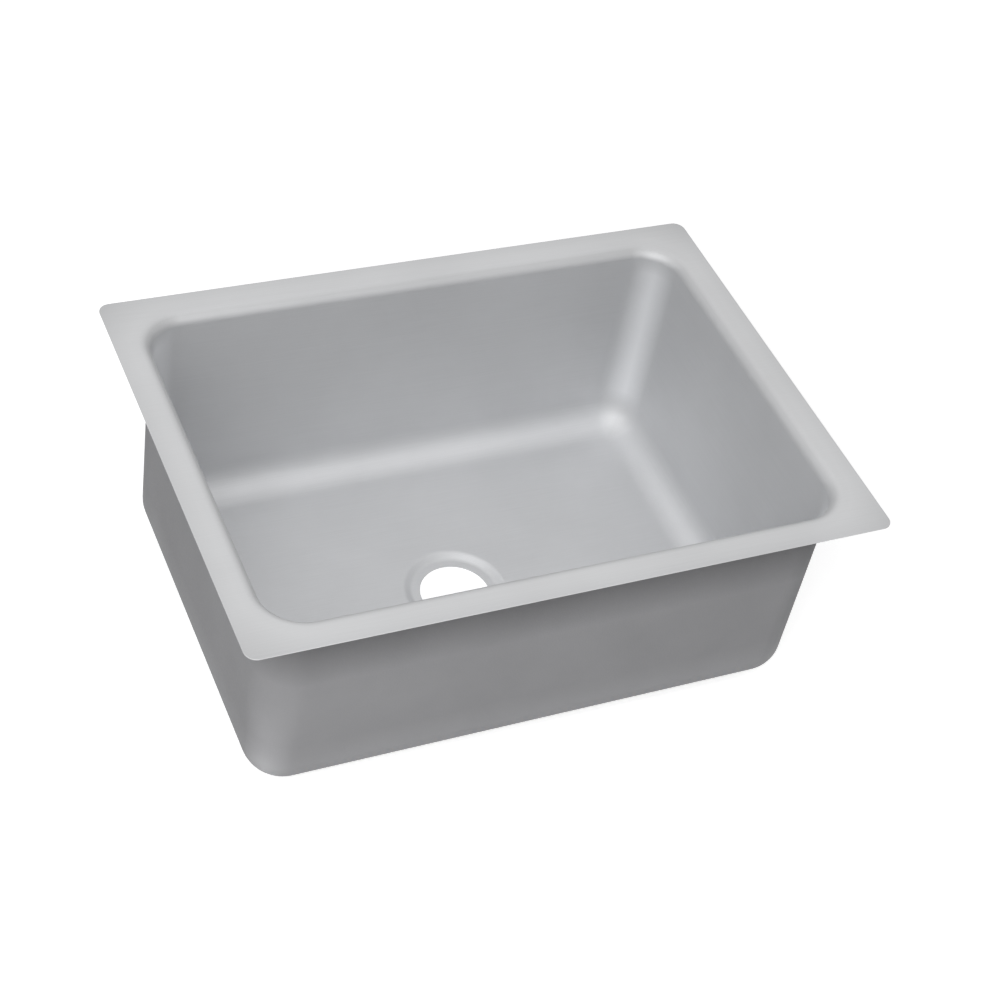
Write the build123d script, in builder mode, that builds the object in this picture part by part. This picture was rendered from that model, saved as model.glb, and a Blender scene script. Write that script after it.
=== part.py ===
"""Single-bowl undermount kitchen sink, drawn from one sheet of stainless steel.

Millimetres. X runs along the sink's length and Y from its front to its back. The origin is on the
drain's axis at the underside of the drain seat, which is the lowest face, and +Z is up.
"""

import os
from math import radians, tan

from build123d import *

# Flange, the flat rim that is sealed against the underside of the worktop
flange_length = 780.0
flange_width = 572.0
flange_corner_radius = 14.0

# Bowl, measured on its inner face
sheet_thickness = 1.2
rim_inset = 42.0
roll_radius = 15.0
bowl_depth = 297.0
wall_draft = 0.5
cove_radius = 42.0
foot_corner_radius = 4.0

# Floor, which falls in four flat faces, with faint hips, to a level square round the drain recess
floor_fall = 4.0
fall_gap_to_cove = 6.0
square_gap_to_recess = 7.0

# Drain recess, for a strainer with a 114 mm flange in a 3-1/2 inch hole
drain_hole_radius = 44.5
seat_width = 12.5
recess_depth = 5.8
recess_slope = 48.0

# Sprayed sound-deadening coat on the outside, clear of the roll and of the drain's washer
coat_thickness = 1.6
coat_gap_to_roll = 9.0
bare_ring_width = 12.0

# Sound-deadening pads bonded under the floor, one each side of the drain
pad_thickness = 2.6
pad_corner_radius = 12.0
pad_gap_to_ring = 12.0
pad_gap_to_end_cove = 18.0
pad_gap_to_side_cove = 42.0

# Levels of the inner face, up from the underside of the drain seat
seat_level = sheet_thickness
drain_level = seat_level + recess_depth
floor_level = drain_level + floor_fall
rim_level = floor_level + bowl_depth
coat_level = rim_level - roll_radius - coat_gap_to_roll

# Plan sizes that follow from the ones above
mouth_length = flange_length - 2 * rim_inset
mouth_width = flange_width - 2 * rim_inset
wall_lean = bowl_depth * tan(radians(wall_draft))
upright_corner_radius = wall_lean + cove_radius + foot_corner_radius
floor_inset = wall_lean + cove_radius
floor_length = mouth_length - 2 * floor_inset
floor_width = mouth_width - 2 * floor_inset
fall_length = floor_length - 2 * fall_gap_to_cove
fall_width = floor_width - 2 * fall_gap_to_cove
seat_radius = drain_hole_radius + seat_width
recess_radius = seat_radius + recess_depth / tan(radians(recess_slope))
square_size = 2 * (recess_radius + square_gap_to_recess)
bare_ring_radius = recess_radius + bare_ring_width
pad_start = bare_ring_radius + pad_gap_to_ring
pad_length = floor_length / 2 - pad_gap_to_end_cove - pad_start
pad_width = floor_width - 2 * pad_gap_to_side_cove
pad_level = drain_level - sheet_thickness - coat_thickness - pad_thickness


def pressed_form(grow):
    """Solid plug under a flat plate, whose skin is the sheet's inner face moved out by grow."""
    plate_level = rim_level - grow
    base_level = floor_level - grow
    with BuildPart() as form:
        # flat plate of the flange
        with BuildSketch(Plane.XY.offset(plate_level)):
            RectangleRounded(flange_length, flange_width, flange_corner_radius)
        extrude(amount=sheet_thickness)

        # walls, which lean in by the draft as they go down
        with BuildSketch(Plane.XY.offset(plate_level)):
            RectangleRounded(mouth_length + 2 * grow, mouth_width + 2 * grow, upright_corner_radius + grow)
        extrude(amount=-bowl_depth, taper=wall_draft)

        # cove along the foot of the walls
        base = form.faces().sort_by(Axis.Z)[0]
        fillet(base.edges(), radius=cove_radius + grow)

        # roll from the flange into the walls
        plate_under = form.faces().filter_by(Axis.Z).group_by(Axis.Z)[-2][0]
        fillet(plate_under.inner_wires()[0].edges(), radius=roll_radius - grow)

        # floor that falls to a level square
        with Locations((0, 0, base_level - floor_fall / 2)):
            Wedge(
                fall_length,
                floor_fall,
                fall_width,
                (fall_length - square_size) / 2,
                (fall_width - square_size) / 2,
                (fall_length + square_size) / 2,
                (fall_width + square_size) / 2,
                rotation=(-90, 0, 0),
            )
    return form.part


def recess_form(grow):
    """Round plug of the drain recess, with the same skin moved out by grow."""
    spread = grow * tan(radians(recess_slope / 2))
    with BuildPart() as plug:
        with BuildSketch(Plane.XZ):
            Polygon(
                (0, seat_level - grow),
                (seat_radius + spread, seat_level - grow),
                (recess_radius + spread, drain_level - grow),
                (0, drain_level - grow),
                align=None,
            )
        revolve(axis=Axis.Z)
    return plug.part


inner_form = pressed_form(0)
sheet_form = pressed_form(sheet_thickness)
coat_form = pressed_form(sheet_thickness + coat_thickness)
pad_form = pressed_form(sheet_thickness + coat_thickness + pad_thickness)

# Bowl: flange, roll, walls, coves, floor and drain recess in one drawn sheet
with BuildPart() as bowl:
    add(sheet_form)
    add(recess_form(sheet_thickness))
    add(inner_form, mode=Mode.SUBTRACT)
    add(recess_form(0), mode=Mode.SUBTRACT)
    with Locations((0, 0, seat_level)):
        Hole(drain_hole_radius, depth=2 * sheet_thickness)
bowl.part.label = "bowl"

# Coat: sprayed on the outside of the walls and the floor, with a bare ring round the drain
with BuildPart() as undercoat:
    add(coat_form)
    add(sheet_form, mode=Mode.SUBTRACT)
    split(bisect_by=Plane.XY.offset(coat_level), keep=Keep.BOTTOM)
    with BuildSketch():
        Circle(bare_ring_radius)
    extrude(amount=floor_level, both=True, mode=Mode.SUBTRACT)
undercoat.part.label = "undercoat"

# Pads: rubber, on the coat under the floor to the left and right of the drain
pads = {}
for name, side in (("left_floor_pad", -1), ("right_floor_pad", 1)):
    with BuildPart() as floor_pad:
        with BuildSketch(Plane.XY.offset(pad_level)):
            with Locations((side * (pad_start + pad_length / 2), 0)):
                RectangleRounded(pad_length, pad_width, pad_corner_radius)
        extrude(amount=floor_level - pad_level)
        add(pad_form, mode=Mode.INTERSECT)
        add(coat_form, mode=Mode.SUBTRACT)
    floor_pad.part.label = name
    pads[name] = floor_pad.part

os.makedirs("parts", exist_ok=True)
export_step(bowl.part, "parts/bowl.step")
export_step(undercoat.part, "parts/undercoat.step")
for name, pad in pads.items():
    export_step(pad, f"parts/{name}.step")
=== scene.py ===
"""Undermount kitchen sink: its drawn steel bowl, sprayed coat and floor pads, with a studio.

Metres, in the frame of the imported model: X along the sink's length, Y from its front to its back,
Z up, with the origin on the drain's axis at the underside of the drain seat.
"""

from math import atan2, cos, pi, radians, sin, sqrt, tan

import bmesh
import bpy
from bpy.props import FloatProperty, FloatVectorProperty, PointerProperty
from mathutils import Matrix, Vector


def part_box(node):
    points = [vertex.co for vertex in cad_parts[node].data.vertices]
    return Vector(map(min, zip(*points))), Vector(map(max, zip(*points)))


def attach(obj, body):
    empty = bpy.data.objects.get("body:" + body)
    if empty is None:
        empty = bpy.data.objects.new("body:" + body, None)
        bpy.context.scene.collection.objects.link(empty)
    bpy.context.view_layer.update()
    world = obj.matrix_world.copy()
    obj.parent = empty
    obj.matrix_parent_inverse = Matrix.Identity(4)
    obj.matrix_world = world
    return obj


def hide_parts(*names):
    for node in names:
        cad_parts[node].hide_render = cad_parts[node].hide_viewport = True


bl_info = {
    "name": "Undermount Kitchen Sink",
    "version": (1, 0, 0),
    "blender": (4, 5, 0),
    "location": "View3D > Sidebar > Sink",
    "description": "Makes a drawn undermount sink bowl, its undercoat and pads, and a plain studio",
    "category": "Add Mesh",
}

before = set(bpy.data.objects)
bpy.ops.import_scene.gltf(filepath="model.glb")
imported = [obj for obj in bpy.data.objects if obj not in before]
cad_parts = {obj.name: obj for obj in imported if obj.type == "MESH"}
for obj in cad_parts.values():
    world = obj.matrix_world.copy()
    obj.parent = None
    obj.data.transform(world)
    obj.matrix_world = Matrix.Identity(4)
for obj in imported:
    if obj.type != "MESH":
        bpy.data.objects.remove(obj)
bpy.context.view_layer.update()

MM = 0.001
bowl_low, bowl_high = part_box("bowl")
coat_low, coat_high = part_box("undercoat")


# Settings

def length(name, description, default):
    """A size in metres, shown in the scene's own length unit."""
    return FloatProperty(name=name, description=description, default=default, min=0.0,
                         precision=4, unit="LENGTH", subtype="DISTANCE")


def turn(name, description, degrees):
    """An angle, shown in degrees."""
    return FloatProperty(name=name, description=description, default=radians(degrees), subtype="ANGLE")


def factor(name, description, default, high=1.0):
    """A plain number from nought up to the highest one that makes sense."""
    return FloatProperty(name=name, description=description, default=default, min=0.0, max=high)


def colour(name, description, default):
    """A linear colour."""
    return FloatVectorProperty(name=name, description=description, default=default, min=0.0, max=1.0,
                               size=3, subtype="COLOR")


class SinkBowlSettings(bpy.types.PropertyGroup):
    """Sizes of the drawn bowl, measured on its inner face."""

    flange_length: length("Flange Length", "Overall length of the flat rim", bowl_high[0] - bowl_low[0])
    flange_width: length("Flange Width", "Overall width of the flat rim", bowl_high[1] - bowl_low[1])
    flange_corner: length("Flange Corner", "Radius of the flange's outer corners", 14 * MM)
    rim_level: length("Rim Level", "Height of the flange above the drain seat", bowl_high[2])
    rim_inset: length("Rim Inset", "From the flange's edge to the mouth of the bowl", 42 * MM)
    sheet: length("Sheet", "Thickness of the steel", 1.2 * MM)
    roll: length("Rim Roll", "Radius of the roll from the flange into the walls", 15 * MM)
    depth: length("Depth", "From the flange down to the floor", 297 * MM)
    draft: turn("Wall Draft", "Lean of the walls", 0.5)
    cove: length("Cove", "Radius along the foot of the walls", 42 * MM)
    foot_corner: length("Foot Corner", "Corner radius where the coves meet the floor", 4 * MM)
    fall: length("Floor Fall", "Drop of the floor towards the drain", 4 * MM)
    fall_gap: length("Fall Gap", "From the coves to where the floor starts to fall", 6 * MM)
    fall_corner: length("Fall Corner", "Corner radius of the outline that the fall starts from", 40 * MM)
    level_ring: length("Level Ring", "Width of the level ring round the drain recess", 7 * MM)
    hole: length("Drain Hole", "Radius of the drain hole", 44.5 * MM)
    seat: length("Drain Seat", "Width of the seat round the hole, to the foot of the slope", 11.5 * MM)
    recess_depth: length("Recess Depth", "Drop from the floor to the drain seat", 5.8 * MM)
    recess_slope: turn("Recess Slope", "Slope of the recess", 32.0)
    recess_round: length("Recess Rounding", "Inside radius at the top and the foot of the slope", 10 * MM)
    edge_break: length("Edge Break", "Rounding of the cut edges of the sheet", 0.3 * MM)


class SinkCoatSettings(bpy.types.PropertyGroup):
    """Sizes of the sprayed coat and of the floor pads."""

    thickness: length("Coat Thickness", "Thickness of the sprayed coat", 1.6 * MM)
    top: length("Coat Top", "Height that the coat reaches on the walls", coat_high[2])
    feather: length("Coat Feather", "Height over which the coat thins out at its top", 14 * MM)
    bare_ring: length("Bare Ring", "Width of the ring left bare round the drain recess", 9 * MM)
    pad_thickness: length("Pad Thickness", "Thickness of the floor pads", 2.6 * MM)
    pad_corner: length("Pad Corner", "Corner radius of the floor pads", 12 * MM)
    pad_edge: length("Pad Edge", "Rounding of the pads' lower edge", 0.7 * MM)


class SinkFinishSettings(bpy.types.PropertyGroup):
    """Colours and gloss of the finishes, and the light and shade painted into their colours."""

    steel: colour("Steel", "Colour of the satin steel in the bowl", (0.66, 0.665, 0.675))
    # Painted shade: the flange gets a darker copy of the bowl's steel, standing in for shade on the same
    # sheet
    flange_shaded_steel: colour("Flange Steel", "Colour of the flange, left as rolled", (0.58, 0.583, 0.59))
    steel_roughness: factor("Steel Roughness", "Roughness of the satin steel", 0.65)
    grain_depth: factor("Grain", "How much the polishing lines show", 0.12)
    # Painted shade: the steel is painted darker high on the walls than low
    wall_painted_shade: factor("Wall Fade", "How much duller the steel is high on the walls than low", 0.15)
    # Painted shade along the rim roll
    roll_painted_shade: factor("Roll Fade", "How much duller the steel is along the rim roll", 0.15)
    # Painted highlight up the middle of the upright corners
    corner_painted_highlight: factor("Corner Lift", "How much brighter the steel is up the corners", 0.22)
    # Painted shade at the foot of the upright corners
    corner_foot_painted_shade: factor("Corner Dip", "How much duller the steel is at the foot of the corners", 0.18)
    # Painted shade at the flange's corner tips
    tip_painted_shade: factor("Edge Fade", "How much duller the flange is at its corner tips", 0.13)
    patchiness: factor("Patchiness", "How much the steel varies in soft patches", 0.03)
    coat: colour("Coat", "Colour of the sprayed coat", (0.25, 0.25, 0.257))
    # Painted shade towards the top of the coat, under the flange
    coat_top_painted_shade: factor("Coat Fade", "How much darker the coat gets towards its top", 0.5)
    # Painted light on the coat near the floor
    coat_floor_painted_light: factor("Coat Lift", "How much lighter the coat gets towards the floor", 0.25)
    # Painted highlight low on the coat's corners
    coat_painted_corner_light: factor("Coat Corners", "How much lighter the coat is low on the corners", 0.35)
    rubber: colour("Rubber", "Colour of the floor pads", (0.035, 0.035, 0.037))


class SinkStageSettings(bpy.types.PropertyGroup):
    """The camera, the lamps and the floor."""

    lens: factor("Lens", "Focal length in millimetres on a 36 mm sensor", 79.37, 500.0)
    azimuth: turn("Azimuth", "Turn of the view from the sink's front towards its left", 31.084)
    elevation: turn("Elevation", "Tilt of the view below level", 44.016)
    roll: turn("Roll", "Roll of the camera", -11.995)
    eye: FloatVectorProperty(name="Eye", description="Place of the camera", size=3,
                             default=(-0.9604, -1.6535, 2.0232), subtype="XYZ", unit="LENGTH")
    floor: colour("Floor", "Colour of the studio floor", (0.80, 0.80, 0.80))
    floor_glow: factor("Floor Glow", "How much whiter the floor looks than it is lit", 0.6)
    world: factor("World", "Strength of the white surround as a light", 0.45, 10.0)
    key: factor("Key", "Power of the soft lamp at the sink's front left", 30.0, 5000.0)
    fill: factor("Fill", "Power of the low soft lamp in front of the sink", 22.0, 5000.0)
    back: factor("Back", "Power of the soft lamp at the sink's back left", 4.0, 5000.0)


# Fixed choices of the meshes

CORNER_STEPS = 16
LONG_STEPS = 44
SHORT_STEPS = 30
ROLL_STEPS = 12
WALL_STEPS = 8
COVE_STEPS = 16
FLOOR_STEPS = 20
RECESS_STEPS = 8
EDGE_STEPS = 3
FEATHER_STEPS = 7
PAD_EDGE_STEPS = 4
PAD_RINGS = 12

# Share of the floor's fall over which it eases in, and out again
FLOOR_EASE = 0.2
# Share of the coat's thickness that is left at its top edge
THINNEST = 0.12
# Middle drop of the coat's wavy top edge, and its waves as count, size and phase
WAVE_DROP = 1.5 * MM
WAVES = ((9, 1.0, 0.6), (23, 0.6, 2.1), (41, 0.4, 4.0))
# Rounding of the coat's edge at the bare ring
RING_EASE = 0.5 * MM
# Edges of a pad sharper than this angle stay sharp
PAD_SHARP = radians(50)
# Least divisor, so that a direction along an axis divides by no nought
TINY = 1e-9


# Outlines and skins

def sweep(start, end, steps):
    """Evenly spaced values from one to another, both included."""
    return [start + (end - start) * step / steps for step in range(steps + 1)]


def plan_loop(half_x, half_y, radius):
    """Points and outward directions round a rectangle with rounded corners, from its +X side."""
    centre_x = half_x - radius
    centre_y = half_y - radius
    loop = []
    for quarter in range(4):
        sign_x = (1, -1, -1, 1)[quarter]
        sign_y = (1, 1, -1, -1)[quarter]
        for step in range(CORNER_STEPS + 1):
            angle = (quarter + step / CORNER_STEPS) * pi / 2
            out = Vector((cos(angle), sin(angle)))
            loop.append((Vector((sign_x * centre_x, sign_y * centre_y)) + radius * out, out))
        steps = LONG_STEPS if quarter % 2 == 0 else SHORT_STEPS
        start, out = loop[-1]
        next_x = (-1, -1, 1, 1)[quarter]
        next_y = (1, -1, -1, 1)[quarter]
        angle = (quarter + 1) * pi / 2
        end = Vector((next_x * centre_x, next_y * centre_y)) + radius * Vector((cos(angle), sin(angle)))
        for step in range(1, steps):
            loop.append((start.lerp(end, step / steps), out))
    return loop


def circle_loop(radius, like):
    """A circle whose points lie in the directions of another loop's points."""
    loop = []
    for point, _ in like:
        out = point.normalized()
        loop.append((radius * out, out))
    return loop


def skin(name, stations):
    """Closed mesh over a row of loops. A station is a loop, its height or a rule that gives it from
    a point, and the normal's out and up parts; without an out part it is worked out from the mesh."""
    around = len(stations[0][0])
    rows = len(stations)
    verts = [Vector((point.x, point.y, height(point) if callable(height) else height))
             for loop, height, _, _ in stations for point, _ in loop]
    normals = []
    for row, (loop, _, n_out, n_up) in enumerate(stations):
        for step, (_, out) in enumerate(loop):
            if n_out is None:
                along = (verts[row * around + (step + 1) % around]
                         - verts[row * around + (step - 1) % around])
                across = verts[(row + 1) * around + step] - verts[(row - 1) * around + step]
                normal = along.cross(across).normalized()
                normals.append(normal if normal.z * n_up > 0 else -normal)
            else:
                normals.append(Vector((out.x * n_out, out.y * n_out, n_up)).normalized())
    faces = []
    for row in range(rows):
        faces += band(row * around, (row + 1) % rows * around, around)
    piece = new_piece(name, verts, faces)
    piece.data.normals_split_custom_set_from_vertices(normals)
    return piece


def band(first, second, around):
    """Four-sided faces between two loops, given by the index of each one's first point."""
    return [(first + step, first + (step + 1) % around, second + (step + 1) % around, second + step)
            for step in range(around)]


def link(thing):
    """Put an object into the scene."""
    bpy.context.scene.collection.objects.link(thing)
    return thing


def new_piece(name, verts, faces):
    """Smooth-shaded object from points and faces, with its faces turned outwards."""
    mesh = bpy.data.meshes.new(name)
    mesh.from_pydata(verts, [], faces)
    work = bmesh.new()
    work.from_mesh(mesh)
    bmesh.ops.recalc_face_normals(work, faces=work.faces)
    work.to_mesh(mesh)
    work.free()
    mesh.polygons.foreach_set("use_smooth", [True] * len(mesh.polygons))
    mesh.update()
    return link(bpy.data.objects.new(name, mesh))


class Form:
    """The sink's inner face moved out by a distance, as stations from the rim roll to the drain."""

    def __init__(self, bowl, grow):
        self.bowl = bowl
        self.grow = grow
        self.drain_level = bowl.sheet + bowl.recess_depth
        self.floor_level = self.drain_level + bowl.fall
        self.half_x = bowl.flange_length / 2 - bowl.rim_inset
        self.half_y = bowl.flange_width / 2 - bowl.rim_inset
        self.corner = bowl.depth * tan(bowl.draft) + bowl.cove + bowl.foot_corner
        inset = bowl.depth * tan(bowl.draft) + bowl.cove + bowl.fall_gap
        self.fall_x = self.half_x - inset
        self.fall_y = self.half_y - inset
        self.like = plan_loop(self.fall_x, self.fall_y, bowl.fall_corner)
        tangent = bowl.recess_round * tan(bowl.recess_slope / 2)
        seat_radius = bowl.hole + bowl.seat
        self.recess_radius = seat_radius + bowl.recess_depth / tan(bowl.recess_slope)
        self.toe_start = seat_radius - tangent
        self.shoulder_end = self.recess_radius + tangent
        self.level_radius = self.recess_radius + bowl.level_ring

    def loop(self, radius):
        """Plan loop parallel to the mouth, with its corner radius given."""
        move = radius - self.corner
        return plan_loop(self.half_x + move, self.half_y + move, radius)

    def reach(self, point):
        """How far it is from the drain's axis, through a point, to where the floor starts to fall."""
        out_x, out_y = abs(point.x) / point.length, abs(point.y) / point.length
        far = min(self.fall_x / max(out_x, TINY), self.fall_y / max(out_y, TINY))
        corner = self.bowl.fall_corner
        centre_x, centre_y = self.fall_x - corner, self.fall_y - corner
        if far * out_x > centre_x and far * out_y > centre_y:
            along = centre_x * out_x + centre_y * out_y
            beside = centre_x * out_y - centre_y * out_x
            far = along + sqrt(corner * corner - beside * beside)
        return far

    def floor_height(self, point):
        """Height of the floor at a point; it falls evenly, eased at both ends."""
        far = self.reach(point)
        part = min(1.0, max(0.0, (far - point.length) / (far - self.level_radius)))
        if part < FLOOR_EASE:
            fallen = part * part / (2 * FLOOR_EASE)
        elif part > 1 - FLOOR_EASE:
            fallen = 1 - FLOOR_EASE - (1 - part) * (1 - part) / (2 * FLOOR_EASE)
        else:
            fallen = part - FLOOR_EASE / 2
        return self.floor_level - self.grow - self.bowl.fall * fallen / (1 - FLOOR_EASE)

    def wall(self, level):
        """Corner radius of the wall's loop at a height."""
        top = self.bowl.rim_level - self.grow
        return self.corner + self.grow - (top - level) * tan(self.bowl.draft)

    def roll_stations(self):
        """Roll from the flange into the walls."""
        bowl = self.bowl
        radius = bowl.roll - self.grow
        centre_z = bowl.rim_level - bowl.roll
        centre = self.wall(centre_z + radius * sin(bowl.draft)) + radius * cos(bowl.draft)
        for angle in sweep(0.0, pi / 2 - bowl.draft, ROLL_STEPS):
            yield (self.loop(centre - radius * sin(angle)), centre_z + radius * cos(angle),
                   -sin(angle), cos(angle))

    def wall_stations(self, top, bottom):
        """Straight part of the walls between two heights, without its ends."""
        for level in sweep(top, bottom, WALL_STEPS)[1:-1]:
            yield self.loop(self.wall(level)), level, -cos(self.bowl.draft), sin(self.bowl.draft)

    def cove_top(self):
        """Height at which the walls run into the cove."""
        return self.floor_level + self.bowl.cove - (self.bowl.cove + self.grow) * sin(self.bowl.draft)

    def cove_stations(self):
        """Cove along the foot of the walls."""
        bowl = self.bowl
        radius = bowl.cove + self.grow
        centre_z = self.floor_level + bowl.cove
        centre = self.wall(self.cove_top()) - radius * cos(bowl.draft)
        for angle in sweep(bowl.draft, pi / 2, COVE_STEPS):
            yield (self.loop(centre + radius * cos(angle)), centre_z - radius * sin(angle),
                   -cos(angle), sin(angle))

    def floor_stations(self, inner):
        """Floor from the outline where it starts to fall in to a circle."""
        circle = circle_loop(inner, self.like)
        for part in sweep(0.0, 1.0, FLOOR_STEPS):
            loop = [(far.lerp(near, part), out) for (far, _), (near, out) in zip(self.like, circle)]
            yield loop, self.floor_height, None, 1.0

    def recess_stations(self):
        """Rounded slope of the drain recess, down to its flat seat."""
        bowl = self.bowl
        angles = sweep(0.0, bowl.recess_slope, RECESS_STEPS)
        shoulder = bowl.recess_round - self.grow
        for angle in angles:
            yield (circle_loop(self.shoulder_end - shoulder * sin(angle), self.like),
                   self.drain_level - bowl.recess_round + shoulder * cos(angle), -sin(angle), cos(angle))
        toe = bowl.recess_round + self.grow
        for angle in reversed(angles):
            yield (circle_loop(self.toe_start + toe * sin(angle), self.like),
                   bowl.sheet + bowl.recess_round - toe * cos(angle), -sin(angle), cos(angle))

    def stations(self):
        """The whole face from the flange side of the roll to the flat of the drain seat."""
        roll = list(self.roll_stations())
        cove = list(self.cove_stations())
        return [*roll, *self.wall_stations(roll[-1][1], cove[0][1]), *cove,
                *self.floor_stations(self.level_radius), *self.recess_stations()]


def turned(stations):
    """Stations with their normals turned to the other side."""
    return [(loop, height, None if n_out is None else -n_out, -n_up)
            for loop, height, n_out, n_up in stations]


def edge_stations(loop_at, top, bottom, ease, side):
    """Cut edge of the sheet with its two corners eased; side is 1 for an outer edge, -1 for a hole."""
    angles = sweep(0.0, pi / 2, EDGE_STEPS)
    upper = [(loop_at(-ease * (1 - sin(angle)) * side), top - ease * (1 - cos(angle)),
              side * sin(angle), cos(angle)) for angle in angles]
    lower = [(loop_at(-ease * (1 - cos(angle)) * side), bottom + ease * (1 - sin(angle)),
              side * cos(angle), -sin(angle)) for angle in angles]
    return upper + lower


def ragged(level, part):
    """Rule for the height of the coat's thinning edge, which runs up and down round the bowl."""
    def height(point):
        angle = atan2(point.y, point.x)
        wave = sum(size * sin(count * angle + phase) for count, size, phase in WAVES) / 2
        return level - WAVE_DROP * part * (1 + wave)
    return height


# Node helpers

def fresh_material(name):
    """Material with a shader and nothing else, with its node tree and the shader."""
    material = bpy.data.materials.new(name)
    material.use_nodes = True
    return material, material.node_tree, material.node_tree.nodes["Principled BSDF"]


def map_range(tree, value, low, high, from_low=0.0, from_high=1.0):
    """Value moved linearly from one range to another."""
    node = tree.nodes.new("ShaderNodeMapRange")
    node.inputs["From Min"].default_value = from_low
    node.inputs["From Max"].default_value = from_high
    node.inputs["To Min"].default_value = low
    node.inputs["To Max"].default_value = high
    tree.links.new(value, node.inputs["Value"])
    return node.outputs["Result"]


def combine(tree, operation, *values):
    """Several values put together one after the other, by a math operation."""
    result = values[0]
    for value in values[1:]:
        node = tree.nodes.new("ShaderNodeMath")
        node.operation = operation
        tree.links.new(result, node.inputs[0])
        tree.links.new(value, node.inputs[1])
        result = node.outputs["Value"]
    return result


def vector_math(tree, operation, value, other=None):
    """Vector operation on a socket and another vector, which may be a socket too, or none."""
    node = tree.nodes.new("ShaderNodeVectorMath")
    node.operation = operation
    tree.links.new(value, node.inputs[0])
    if isinstance(other, tuple):
        node.inputs[1].default_value = other
    elif other is not None:
        tree.links.new(other, node.inputs[1])
    return node.outputs["Value" if operation == "LENGTH" else "Vector"]


def split(tree, vector):
    """The parts of a vector, by the names of their axes."""
    node = tree.nodes.new("ShaderNodeSeparateXYZ")
    tree.links.new(vector, node.inputs["Vector"])
    return node.outputs


def place_in_object(tree):
    """Position on the object, in metres."""
    return tree.nodes.new("ShaderNodeTexCoord").outputs["Object"]


def blend_colours(tree, fac, start, end):
    """Colour between two, by a value; the first may come from another node."""
    node = tree.nodes.new("ShaderNodeMix")
    node.data_type = "RGBA"
    if isinstance(start, tuple):
        node.inputs["A"].default_value = (*start, 1.0)
    else:
        tree.links.new(start, node.inputs["A"])
    node.inputs["B"].default_value = (*end, 1.0)
    tree.links.new(fac, node.inputs["Factor"])
    return node.outputs["Result"]


def dimmed(tree, tone, amount):
    """Colour multiplied by a value."""
    node = tree.nodes.new("ShaderNodeVectorMath")
    node.operation = "SCALE"
    tree.links.new(tone, node.inputs[0])
    tree.links.new(amount, node.inputs["Scale"])
    return node.outputs["Vector"]


def bump(tree, height, distance, strength):
    """Normal raised by a height."""
    node = tree.nodes.new("ShaderNodeBump")
    node.inputs["Strength"].default_value = strength
    node.inputs["Distance"].default_value = distance
    tree.links.new(height, node.inputs["Height"])
    return node.outputs["Normal"]


def shade(colour_value, amount):
    """Colour made lighter or darker by a part of itself."""
    return tuple(min(1.0, channel * (1 + amount)) for channel in colour_value)


# Effects that several materials use

# Range that most of a noise texture lies in
NOISE_RANGE = (0.3, 0.7)
PATCH_DETAIL = 3.0
FINE_DETAIL = 2.0
# Scale along a polishing line, against 1 across it
LINE_STRETCH = 0.012
# X parts of the normal between which the lines turn from the length to across it
FACING_BAND = (0.5, 0.8)
# Shares of the corner radius between which a corner's middle stands out from the walls
CORNER_BAND = (0.15, 0.68)


def new_group(name, inputs, outputs):
    """Empty shader node group with float inputs and outputs, and its two end nodes."""
    tree = bpy.data.node_groups.new(name, "ShaderNodeTree")
    for socket, default in inputs:
        item = tree.interface.new_socket(socket, in_out="INPUT", socket_type="NodeSocketFloat")
        item.default_value = default
    for socket in outputs:
        tree.interface.new_socket(socket, in_out="OUTPUT", socket_type="NodeSocketFloat")
    return tree, tree.nodes.new("NodeGroupInput"), tree.nodes.new("NodeGroupOutput")


def place_group(tree, group, **values):
    """Node that holds a group, with its inputs set by name."""
    node = tree.nodes.new("ShaderNodeGroup")
    node.node_tree = group
    for socket, value in values.items():
        node.inputs[socket.replace("_", " ")].default_value = value
    return node


def stretched_noise(tree, coordinates, scale, detail, stretch):
    """Noise drawn out along one axis of the object."""
    mapping = tree.nodes.new("ShaderNodeMapping")
    mapping.inputs["Scale"].default_value = stretch
    tree.links.new(coordinates, mapping.inputs["Vector"])
    noise = tree.nodes.new("ShaderNodeTexNoise")
    noise.inputs["Detail"].default_value = detail
    tree.links.new(mapping.outputs["Vector"], noise.inputs["Vector"])
    tree.links.new(scale, noise.inputs["Scale"])
    return noise.outputs["Fac"]


def mottle_group():
    """Soft patches and fine specks over a surface, each from 0 to 1."""
    name = "Surface mottle"
    if name in bpy.data.node_groups:
        return bpy.data.node_groups[name]
    tree, start, end = new_group(name, [("Patch Scale", 6.0), ("Speck Scale", 900.0)],
                                 ["Patches", "Specks"])
    position = place_in_object(tree)
    even = (1, 1, 1)
    patches = stretched_noise(tree, position, start.outputs["Patch Scale"], PATCH_DETAIL, even)
    specks = stretched_noise(tree, position, start.outputs["Speck Scale"], FINE_DETAIL, even)
    tree.links.new(map_range(tree, patches, 0.0, 1.0, *NOISE_RANGE), end.inputs["Patches"])
    tree.links.new(map_range(tree, specks, 0.0, 1.0, *NOISE_RANGE), end.inputs["Specks"])
    return tree


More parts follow.
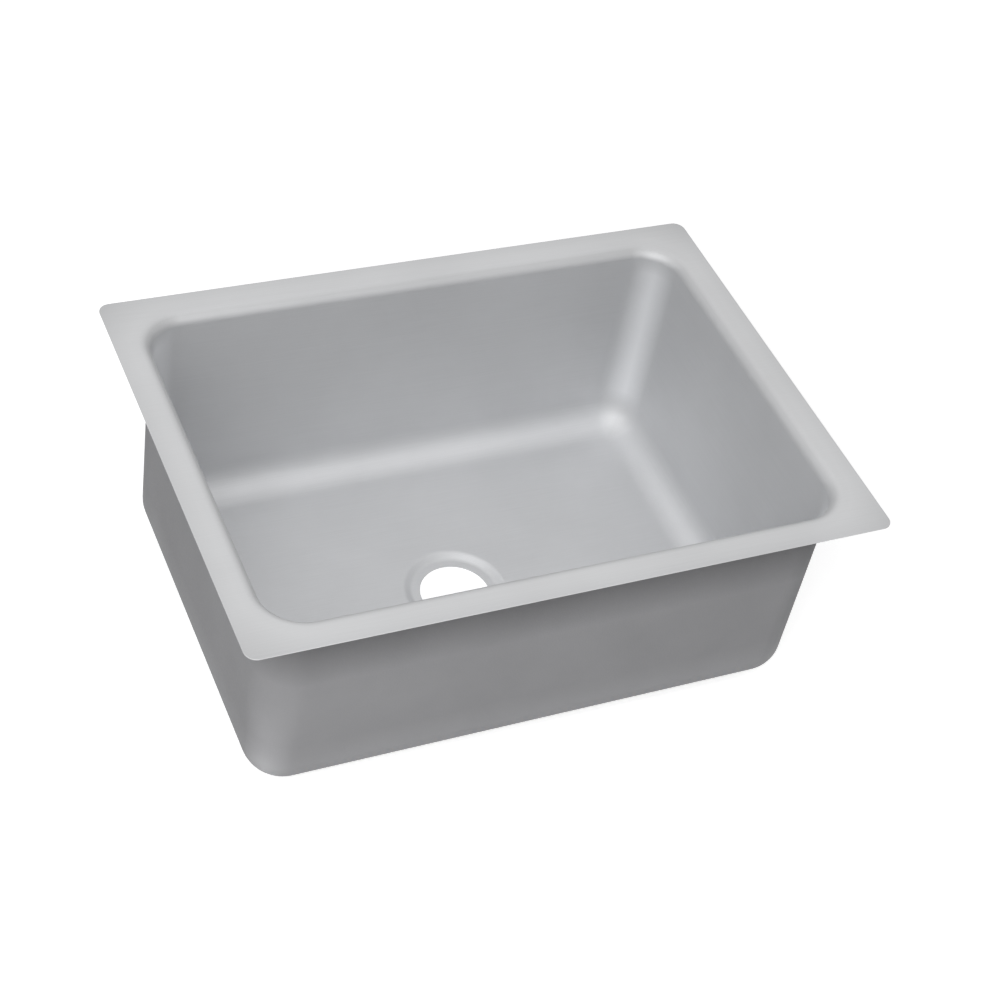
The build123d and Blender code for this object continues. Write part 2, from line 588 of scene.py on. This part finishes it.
def grain_group():
    """Fine polishing lines that run along the length, and across it on the end walls."""
    name = "Polishing lines"
    if name in bpy.data.node_groups:
        return bpy.data.node_groups[name]
    tree, start, end = new_group(name, [("Lines", 1100.0)], ["Height"])
    coordinates = tree.nodes.new("ShaderNodeTexCoord").outputs
    position = coordinates["Object"]
    scale = start.outputs["Lines"]
    along = stretched_noise(tree, position, scale, FINE_DETAIL, (LINE_STRETCH, 1, 1))
    across = stretched_noise(tree, position, scale, FINE_DETAIL, (1, LINE_STRETCH, 1))
    facing = split(tree, vector_math(tree, "ABSOLUTE", coordinates["Normal"]))["X"]
    mix = tree.nodes.new("ShaderNodeMix")
    tree.links.new(map_range(tree, facing, 0.0, 1.0, *FACING_BAND), mix.inputs["Factor"])
    tree.links.new(along, mix.inputs["A"])
    tree.links.new(across, mix.inputs["B"])
    tree.links.new(map_range(tree, mix.outputs["Result"], 0.0, 1.0, *NOISE_RANGE), end.inputs["Height"])
    return tree


def outline_group():
    """Where a point lies on a bowl with upright rounded corners. Corners is 1 down the middle of
    each corner and 0 on the flat walls, and Outside is the distance outside its outline in metres."""
    name = "Rounded outline"
    if name in bpy.data.node_groups:
        return bpy.data.node_groups[name]
    tree, start, end = new_group(name, [("Centre X", 0.3), ("Centre Y", 0.2), ("Corner Radius", 0.05)],
                                 ["Corners", "Outside"])
    centre = tree.nodes.new("ShaderNodeCombineXYZ")
    tree.links.new(start.outputs["Centre X"], centre.inputs["X"])
    tree.links.new(start.outputs["Centre Y"], centre.inputs["Y"])
    radius = start.outputs["Corner Radius"]
    past = vector_math(tree, "SUBTRACT", vector_math(tree, "ABSOLUTE", place_in_object(tree)),
                       centre.outputs["Vector"])
    parts = split(tree, past)
    nearer = combine(tree, "MINIMUM", parts["X"], parts["Y"])
    corners = map_range(tree, combine(tree, "DIVIDE", nearer, radius), 0.0, 1.0, *CORNER_BAND)
    tree.links.new(corners, end.inputs["Corners"])
    beyond = vector_math(tree, "MAXIMUM", vector_math(tree, "MULTIPLY", past, (1.0, 1.0, 0.0)),
                         (0.0, 0.0, 0.0))
    outside = combine(tree, "SUBTRACT", vector_math(tree, "LENGTH", beyond), radius)
    tree.links.new(outside, end.inputs["Outside"])
    return tree


def place_outline(tree, bowl):
    """The outline group with the values of the bowl's mouth."""
    mouth = Form(bowl, 0.0)
    return place_group(tree, outline_group(), Centre_X=mouth.half_x - mouth.corner,
                       Centre_Y=mouth.half_y - mouth.corner, Corner_Radius=mouth.corner)


# Finishes

def steel_material(finish, bowl):
    """Satin steel with fine polishing lines and soft patches, with painted shade and highlights by place.
    """
    material, tree, shader = fresh_material("satin_steel_finish")
    mottle = place_group(tree, mottle_group(), Patch_Scale=5.0, Speck_Scale=260.0)
    grain = place_group(tree, grain_group(), Lines=1100.0).outputs["Height"]
    outline = place_outline(tree, bowl)
    height = split(tree, place_in_object(tree))["Z"]

    rim = bowl.rim_level
    roll_foot = rim - bowl.roll
    low_wall = bowl.recess_depth + bowl.fall + bowl.cove
    up_wall = map_range(tree, height, 0.0, 1.0, low_wall, roll_foot)
    on_flange = map_range(tree, height, 0.0, 1.0, roll_foot, rim)
    steel = tuple(finish.steel)
    # Painted shade: the walls are painted darker towards the roll
    walls = blend_colours(tree, up_wall, steel, shade(steel, -finish.wall_painted_shade))
    # Painted shade: the flange takes its darker copy of the steel
    tone = blend_colours(tree, on_flange, walls, tuple(finish.flange_shaded_steel))

    # The roll's painted shade is deepest between these heights
    roll_shade_low, roll_shade_high = rim - 5 * MM, rim - 3 * MM
    roll_shade_level = 1 - finish.roll_painted_shade
    painted_roll_shade = combine(tree, "MAXIMUM",
                        map_range(tree, height, 1.0, roll_shade_level, roll_foot, roll_shade_low),
                        map_range(tree, height, roll_shade_level, 1.0, roll_shade_high, rim))

    # Painted shade on the flange deepens between these distances from the mouth, which only its corners
    # reach
    tips_start, tips_end = 24 * MM, 70 * MM
    painted_tip_shade = map_range(tree, outline.outputs["Outside"], 1.0, 1 - finish.tip_painted_shade,
                        tips_start, tips_end)

    # The upright corners go from painted shade at their foot to a painted highlight between the first two
    # heights, and fade out over the last one below the roll
    corner_foot, corner_wall, corner_fade = 23 * MM, 70 * MM, 20 * MM
    corner_shade_and_highlight = map_range(tree, height, -finish.corner_foot_painted_shade, finish.corner_painted_highlight, corner_foot, corner_wall)
    under_roll = map_range(tree, height, 1.0, 0.0, roll_foot - corner_fade, roll_foot)
    lift = combine(tree, "MULTIPLY", outline.outputs["Corners"], corner_shade_and_highlight, under_roll)
    corners = map_range(tree, lift, 0.0, 2.0, -1.0, 1.0)

    patches = map_range(tree, mottle.outputs["Patches"], 1 - finish.patchiness, 1 + finish.patchiness)
    tree.links.new(dimmed(tree, tone, combine(tree, "MULTIPLY", painted_roll_shade, painted_tip_shade, corners, patches)),
                   shader.inputs["Base Color"])

    rough = finish.steel_roughness
    rough_spread = 0.035
    line_height = 0.02 * MM
    tree.links.new(map_range(tree, grain, rough - rough_spread, rough + rough_spread),
                   shader.inputs["Roughness"])
    tree.links.new(bump(tree, grain, line_height, finish.grain_depth), shader.inputs["Normal"])
    shader.inputs["Metallic"].default_value = 1.0
    return material


def coat_material(finish, coat, bowl):
    """Matt sprayed coat with a fine stipple, with painted shade towards its top and painted light near
    the floor and low on its corners.
    """
    material, tree, shader = fresh_material("sprayed_coat_finish")
    mottle = place_group(tree, mottle_group(), Patch_Scale=9.0, Speck_Scale=420.0)
    height = split(tree, place_in_object(tree))["Z"]

    # Depths below the coat's top and heights above the floor between which each painted shade or light
    # changes
    top_shade_start, top_shade_end = 90 * MM, 15 * MM
    floor_start, floor_end = 20 * MM, 90 * MM
    corner_start, corner_end = 40 * MM, 160 * MM
    painted_top_shade = map_range(tree, height, 1.0, 1 - finish.coat_top_painted_shade,
                         coat.top - top_shade_start, coat.top - top_shade_end)
    painted_floor_light = map_range(tree, height, 1 + finish.coat_floor_painted_light, 1.0, floor_start, floor_end)
    painted_low_corner_light = combine(tree, "MULTIPLY", place_outline(tree, bowl).outputs["Corners"],
                          map_range(tree, height, finish.coat_painted_corner_light, 0.0, corner_start, corner_end))
    corners = map_range(tree, painted_low_corner_light, 1.0, 2.0)

    spray = tuple(finish.coat)
    mottling = 0.04
    tone = blend_colours(tree, mottle.outputs["Patches"], shade(spray, -mottling), shade(spray, mottling))
    tree.links.new(dimmed(tree, tone, combine(tree, "MULTIPLY", painted_top_shade, painted_floor_light, corners)),
                   shader.inputs["Base Color"])

    specks = mottle.outputs["Specks"]
    rough_low, rough_high = 0.62, 0.78
    stipple_height, stipple_strength = 0.2 * MM, 0.35
    tree.links.new(map_range(tree, specks, rough_low, rough_high), shader.inputs["Roughness"])
    tree.links.new(bump(tree, specks, stipple_height, stipple_strength), shader.inputs["Normal"])
    shader.inputs["Specular IOR Level"].default_value = 0.1
    return material


def rubber_material(finish):
    """Dark rubber sheet, faintly dusty."""
    material, tree, shader = fresh_material("pad_rubber_finish")
    mottle = place_group(tree, mottle_group(), Patch_Scale=14.0, Speck_Scale=700.0)
    patches = mottle.outputs["Patches"]
    rubber = tuple(finish.rubber)
    dust = 0.6
    rough_low, rough_high = 0.55, 0.75
    speck_height, speck_strength = 0.08 * MM, 0.4
    tree.links.new(blend_colours(tree, patches, rubber, shade(rubber, dust)), shader.inputs["Base Color"])
    tree.links.new(map_range(tree, patches, rough_low, rough_high), shader.inputs["Roughness"])
    tree.links.new(bump(tree, mottle.outputs["Specks"], speck_height, speck_strength),
                   shader.inputs["Normal"])
    return material


def place(piece, material, slot, *nodes):
    """Give a piece its finish and its body, and hide the imported parts that it stands for; the slot is
    not used.
    """
    piece.data.materials.append(material)
    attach(piece, "root")
    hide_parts(*nodes)


# Operators

class SINK_OT_bowl(bpy.types.Operator):
    """Make the bowl, drawn with its flange from one sheet of steel"""

    bl_idname = "sink.bowl"
    bl_label = "Make Bowl"

    def execute(self, context):
        bowl = context.scene.sink_bowl
        inner = Form(bowl, 0.0)
        outer = Form(bowl, bowl.sheet)
        rim = bowl.rim_level

        def flange_loop(move):
            return plan_loop(bowl.flange_length / 2 + move, bowl.flange_width / 2 + move,
                             bowl.flange_corner + move)

        def hole_loop(move):
            return circle_loop(bowl.hole + move, inner.like)

        stations = inner.stations()
        stations += edge_stations(hole_loop, bowl.sheet, 0.0, bowl.edge_break, -1)
        stations += reversed(turned(outer.stations()))
        stations += reversed(edge_stations(flange_loop, rim, rim - bowl.sheet, bowl.edge_break, 1))
        material = steel_material(context.scene.sink_finish, bowl)
        place(skin("drawn_bowl", stations), material, "satin_steel", "bowl")
        return {"FINISHED"}


class SINK_OT_coat(bpy.types.Operator):
    """Make the sound-deadening coat that is sprayed on the outside of the bowl"""

    bl_idname = "sink.coat"
    bl_label = "Make Sprayed Coat"

    def execute(self, context):
        bowl = context.scene.sink_bowl
        coat = context.scene.sink_coat
        under = Form(bowl, bowl.sheet)
        over = Form(bowl, bowl.sheet + coat.thickness)
        ring = over.recess_radius + coat.bare_ring
        below = coat.top - coat.feather

        def side(form):
            cove = list(form.cove_stations())
            return [*form.wall_stations(below, cove[0][1]), *cove, *form.floor_stations(ring)]

        stations = self.feather(bowl, coat, over, below)
        stations += turned(side(over))
        stations += self.ring_edge(over, under, ring)
        stations += reversed(side(under))
        stations.append((under.loop(under.wall(below)), below, -1.0, 0.0))
        stations.append((under.loop(under.wall(coat.top)), ragged(coat.top, 1.0), -0.3, 1.0))
        material = coat_material(context.scene.sink_finish, coat, bowl)
        place(skin("sprayed_undercoat", stations), material, "sprayed_coat", "undercoat")
        return {"FINISHED"}

    def feather(self, bowl, coat, over, below):
        """Top of the coat's outer face, from its wavy edge down to its full thickness."""
        stations = []
        for part in reversed(sweep(0.0, 1.0, FEATHER_STEPS)):
            level = below + coat.feather * part
            keep = THINNEST + (1 - THINNEST) * (1 - part * part)
            radius = Form(bowl, bowl.sheet + coat.thickness * keep).wall(level)
            slope = 2 * part * coat.thickness * (1 - THINNEST) / coat.feather
            stations.append((over.loop(radius), ragged(level, part), 1.0, slope))
        return stations

    def ring_edge(self, over, under, ring):
        """Rounded edge of the coat at the bare ring, up to the steel."""
        stations = []
        for angle in sweep(0.0, pi / 2, EDGE_STEPS):
            lift = RING_EASE * (1 - cos(angle))
            stations.append((circle_loop(ring - RING_EASE * sin(angle), over.like),
                             lambda point, lift=lift: over.floor_height(point) + lift,
                             -sin(angle), -cos(angle)))
        stations.append((circle_loop(ring - RING_EASE, over.like), under.floor_height, -1.0, 0.0))
        return stations


class SINK_OT_pads(bpy.types.Operator):
    """Make the two rubber pads that are bonded under the floor"""

    bl_idname = "sink.pads"
    bl_label = "Make Floor Pads"

    def execute(self, context):
        bowl = context.scene.sink_bowl
        coat = context.scene.sink_coat
        material = rubber_material(context.scene.sink_finish)
        top = Form(bowl, bowl.sheet + coat.thickness)
        base = Form(bowl, bowl.sheet + coat.thickness + coat.pad_thickness)
        for name in ("left_floor_pad", "right_floor_pad"):
            low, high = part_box(name)
            self.pad(name, low, high, top, base, coat, material)
        return {"FINISHED"}

    def pad(self, name, low, high, top, base, coat, material):
        """One pad, from its top edge down, over its lower edge and in to its middle."""
        middle = Vector(((low[0] + high[0]) / 2, (low[1] + high[1]) / 2))
        half_x = (high[0] - low[0]) / 2
        half_y = (high[1] - low[1]) / 2
        edge = coat.pad_edge
        # Each ring's inset from the pad's outline, its share of that size, its form and its lift
        rings = [(0.0, 1.0, top, 0.0)]
        rings += [(edge * (1 - cos(angle)), 1.0, base, edge * (1 - sin(angle)))
                  for angle in sweep(0.0, pi / 2, PAD_EDGE_STEPS)]
        rings += [(edge, 1 - step / PAD_RINGS, base, 0.0) for step in range(1, PAD_RINGS)]
        verts = []
        for inset, scale, form, lift in rings:
            for point, _ in plan_loop(half_x - inset, half_y - inset, coat.pad_corner - inset):
                at = middle + scale * point
                verts.append((at.x, at.y, form.floor_height(at) + lift))
        hub = len(verts)
        around = hub // len(rings)
        last = hub - around
        faces = [tuple(range(around))]
        for ring in range(len(rings) - 1):
            faces += band(ring * around, (ring + 1) * around, around)
        verts.append((middle.x, middle.y, base.floor_height(middle)))
        faces += [(last + step, last + (step + 1) % around, hub) for step in range(around)]
        piece = new_piece(name + "_rubber", verts, faces)
        piece.data.set_sharp_from_angle(angle=PAD_SHARP)
        place(piece, material, "pad_rubber", name)


# Each soft lamp's name, place and width, and the setting that holds its power
LAMPS = (
    ("front_left_softbox", (-1.34, -1.38, 2.0), 1.7, "key"),
    ("low_front_softbox", (-1.32, -2.28, 1.11), 2.0, "fill"),
    ("back_left_softbox", (-1.4, 1.4, 2.13), 2.0, "back"),
)
LAMP_TARGET = Vector((0, 0, 0.15))
SENSOR_WIDTH = 36.0
VIEW_END = 100.0
# Half the width of the floor, which lies just under the drain seat, and the paint's roughness
FLOOR_REACH = 12.0
FLOOR_GAP = 0.5 * MM
FLOOR_ROUGHNESS = 0.9
WHITE = (1.0, 1.0, 1.0, 1.0)


class SINK_OT_stage(bpy.types.Operator):
    """Set the floor, the lamps, the surround and the camera"""

    bl_idname = "sink.stage"
    bl_label = "Set Stage"

    def execute(self, context):
        stage = context.scene.sink_stage
        self.floor(stage)
        self.surround(context.scene, stage)
        for name, spot, width, power in LAMPS:
            self.lamp(name, spot, width, getattr(stage, power))
        self.camera(context.scene, stage)
        context.scene.view_settings.view_transform = "Standard"
        return {"FINISHED"}

    def seen_directly(self, tree):
        """1 for rays from the camera, in gloss and through glass, 0 for the light that surfaces catch."""
        rays = tree.nodes.new("ShaderNodeLightPath").outputs
        return combine(tree, "MAXIMUM", rays["Is Camera Ray"], rays["Is Glossy Ray"],
                       rays["Is Transmission Ray"])

    def floor(self, stage):
        """Plain floor that keeps the sink's shadow and goes to white away from it."""
        mesh = bpy.data.meshes.new("studio_floor")
        corners = [(x * FLOOR_REACH, y * FLOOR_REACH, -FLOOR_GAP)
                   for x, y in ((-1, -1), (1, -1), (1, 1), (-1, 1))]
        mesh.from_pydata(corners, [], [(0, 1, 2, 3)])
        plane = link(bpy.data.objects.new("studio_floor", mesh))
        material, tree, shader = fresh_material("studio_floor_paint")
        shader.inputs["Roughness"].default_value = FLOOR_ROUGHNESS
        shader.inputs["Specular IOR Level"].default_value = 0.0
        shader.inputs["Base Color"].default_value = (*stage.floor, 1.0)
        shader.inputs["Emission Color"].default_value = WHITE
        tree.links.new(map_range(tree, self.seen_directly(tree), 0.0, stage.floor_glow),
                       shader.inputs["Emission Strength"])
        mesh.materials.append(material)

    def surround(self, scene, stage):
        """White surround, dimmer as a light than it looks."""
        world = bpy.data.worlds.new("studio_surround")
        world.use_nodes = True
        scene.world = world
        tree = world.node_tree
        background = tree.nodes["Background"]
        background.inputs["Color"].default_value = WHITE
        tree.links.new(map_range(tree, self.seen_directly(tree), stage.world, 1.0),
                       background.inputs["Strength"])

    def lamp(self, name, spot, width, power):
        """Square soft lamp that faces the middle of the sink."""
        light = bpy.data.lights.new(name, "AREA")
        light.shape = "SQUARE"
        light.size = width
        light.energy = power
        lamp = link(bpy.data.objects.new(name, light))
        lamp.location = spot
        lamp.rotation_euler = (LAMP_TARGET - Vector(spot)).to_track_quat("-Z", "Y").to_euler()

    def camera(self, scene, stage):
        """Camera at the photograph's angle."""
        az, el = stage.azimuth, stage.elevation
        ahead = Vector((sin(az) * cos(el), cos(az) * cos(el), -sin(el)))
        level = Vector((cos(az), -sin(az), 0))
        down = ahead.cross(level)
        right = cos(stage.roll) * level + sin(stage.roll) * down
        up = right.cross(ahead)
        data = bpy.data.cameras.new("photo_camera")
        data.lens = stage.lens
        data.sensor_width = SENSOR_WIDTH
        data.clip_end = VIEW_END
        camera = link(bpy.data.objects.new("photo_camera", data))
        camera.matrix_world = (Matrix.Translation(stage.eye)
                               @ Matrix((right, up, -ahead)).transposed().to_4x4())
        scene.camera = camera


class SINK_PT_panel(bpy.types.Panel):
    """Sink settings and the operators that make its pieces"""

    bl_idname = "SINK_PT_panel"
    bl_label = "Undermount Kitchen Sink"
    bl_space_type = "VIEW_3D"
    bl_region_type = "UI"
    bl_category = "Sink"

    def draw(self, context):
        layout = self.layout
        for operator in OPERATORS:
            layout.operator(operator.bl_idname)
        for scene_name, _ in SETTINGS:
            settings = getattr(context.scene, scene_name)
            box = layout.box()
            for name in settings.bl_rna.properties.keys():
                if name not in ("rna_type", "name"):
                    box.prop(settings, name)


SETTINGS = (
    ("sink_bowl", SinkBowlSettings),
    ("sink_coat", SinkCoatSettings),
    ("sink_finish", SinkFinishSettings),
    ("sink_stage", SinkStageSettings),
)
OPERATORS = (SINK_OT_bowl, SINK_OT_coat, SINK_OT_pads, SINK_OT_stage)


def register():
    """Add the settings, the operators and the panel."""
    for name, settings in SETTINGS:
        bpy.utils.register_class(settings)
        setattr(bpy.types.Scene, name, PointerProperty(type=settings))
    for operator in OPERATORS:
        bpy.utils.register_class(operator)
    bpy.utils.register_class(SINK_PT_panel)


def unregister():
    """Take them out again."""
    bpy.utils.unregister_class(SINK_PT_panel)
    for operator in reversed(OPERATORS):
        bpy.utils.unregister_class(operator)
    for name, settings in reversed(SETTINGS):
        delattr(bpy.types.Scene, name)
        bpy.utils.unregister_class(settings)


def main():
    """Make every piece and the stage."""
    register()
    bpy.ops.sink.bowl()
    bpy.ops.sink.coat()
    bpy.ops.sink.pads()
    bpy.ops.sink.stage()


if __name__ == "__main__":
    main()
